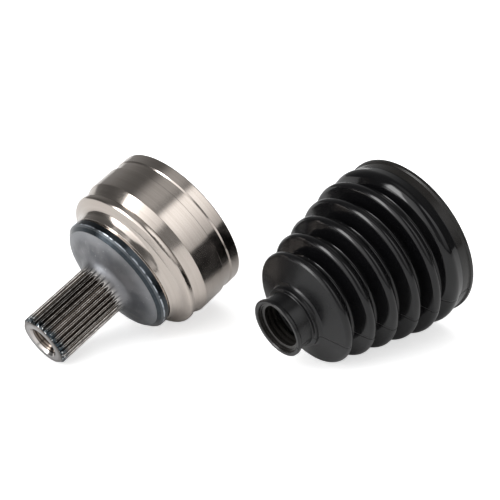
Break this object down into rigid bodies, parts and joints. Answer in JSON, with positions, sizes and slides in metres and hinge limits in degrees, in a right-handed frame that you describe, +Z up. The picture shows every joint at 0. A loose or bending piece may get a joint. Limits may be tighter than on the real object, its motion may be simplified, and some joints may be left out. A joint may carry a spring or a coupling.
{
  "type": "constant velocity joint with boot",
  "caption": "Fixed ball-type constant velocity joint with a splined stub and caged balls, and its loose rubber bellows boot lying beside it.",
  "frame": {"origin": "on the ground, at the bottom centre of the box round the joint and the boot", "axes": "+Z up; +X along the ground under the joint's axis, from its stub towards its open mouth; +Y to the left of it, away from the boot"},
  "size_m": [0.2109, 0.2066, 0.1051],
  "materials": {
    "race_steel": "turned and ground, warm grey; stub and flange dark from hardening",
    "inner_race_steel": "ground tracks, satin grey",
    "spring_steel": "dark oxide",
    "cage_steel": "dark ground steel",
    "ball_steel": "mirror-polished bearing steel",
    "boot_rubber": "glossy moulded black elastomer"
  },
  "bodies": {
    "outer_race": {"outer_race": "race_steel"},
    "inner_race": {"inner_race": "inner_race_steel", "shaft_circlip": "spring_steel"},
    "ball_cage": {"ball_cage": "cage_steel"},
    "ball_1": {"ball_1": "ball_steel"},
    "ball_2": {"ball_2": "ball_steel"},
    "ball_3": {"ball_3": "ball_steel"},
    "ball_4": {"ball_4": "ball_steel"},
    "ball_5": {"ball_5": "ball_steel"},
    "ball_6": {"ball_6": "ball_steel"},
    "boot": {"boot": "boot_rubber"}
  },
  "joints": [
    {"name": "articulation", "type": "hinge", "parent": "outer_race", "child": "inner_race", "pos_m": [-0.01078, 0.05482, 0.05197], "axis": [-0.3821, 0, 0.9241], "range_deg": [-45, 45]},
    {"name": "cage_swing", "type": "hinge", "parent": "outer_race", "child": "ball_cage", "pos_m": [-0.01078, 0.05482, 0.05197], "axis": [-0.3821, 0, 0.9241], "range_deg": [-23, 23]},
    {"name": "ball_1_roll", "type": "hinge", "parent": "outer_race", "child": "ball_1", "pos_m": [-0.00755, 0.05482, 0.05331], "axis": [-0.3821, 0, 0.9241], "range_deg": [-23, 23]},
    {"name": "ball_2_roll", "type": "hinge", "parent": "outer_race", "child": "ball_2", "pos_m": [-0.00755, 0.05482, 0.05331], "axis": [-0.1911, -0.866, 0.4621], "range_deg": [-12, 12]},
    {"name": "ball_3_roll", "type": "hinge", "parent": "outer_race", "child": "ball_3", "pos_m": [-0.00755, 0.05482, 0.05331], "axis": [0.1911, -0.866, -0.4621], "range_deg": [-12, 12]},
    {"name": "ball_4_roll", "type": "hinge", "parent": "outer_race", "child": "ball_4", "pos_m": [-0.00755, 0.05482, 0.05331], "axis": [0.3821, 0, -0.9241], "range_deg": [-23, 23]},
    {"name": "ball_5_roll", "type": "hinge", "parent": "outer_race", "child": "ball_5", "pos_m": [-0.00755, 0.05482, 0.05331], "axis": [0.1911, 0.866, -0.4621], "range_deg": [-12, 12]},
    {"name": "ball_6_roll", "type": "hinge", "parent": "outer_race", "child": "ball_6", "pos_m": [-0.00755, 0.05482, 0.05331], "axis": [-0.1911, 0.866, 0.4621], "range_deg": [-12, 12]},
    {"name": "boot_lift", "type": "slide", "parent": "outer_race", "child": "boot", "axis": [0, 0, 1], "range_m": [0, 0.12]}
  ],
  "couplings": [
    {"joint": "cage_swing", "follows": "articulation", "ratio": 0.5},
    {"joint": "ball_1_roll", "follows": "articulation", "ratio": 0.5},
    {"joint": "ball_2_roll", "follows": "articulation", "ratio": 0.25875},
    {"joint": "ball_3_roll", "follows": "articulation", "ratio": -0.25875},
    {"joint": "ball_4_roll", "follows": "articulation", "ratio": -0.5},
    {"joint": "ball_5_roll", "follows": "articulation", "ratio": -0.25875},
    {"joint": "ball_6_roll", "follows": "articulation", "ratio": 0.25875}
  ]
}
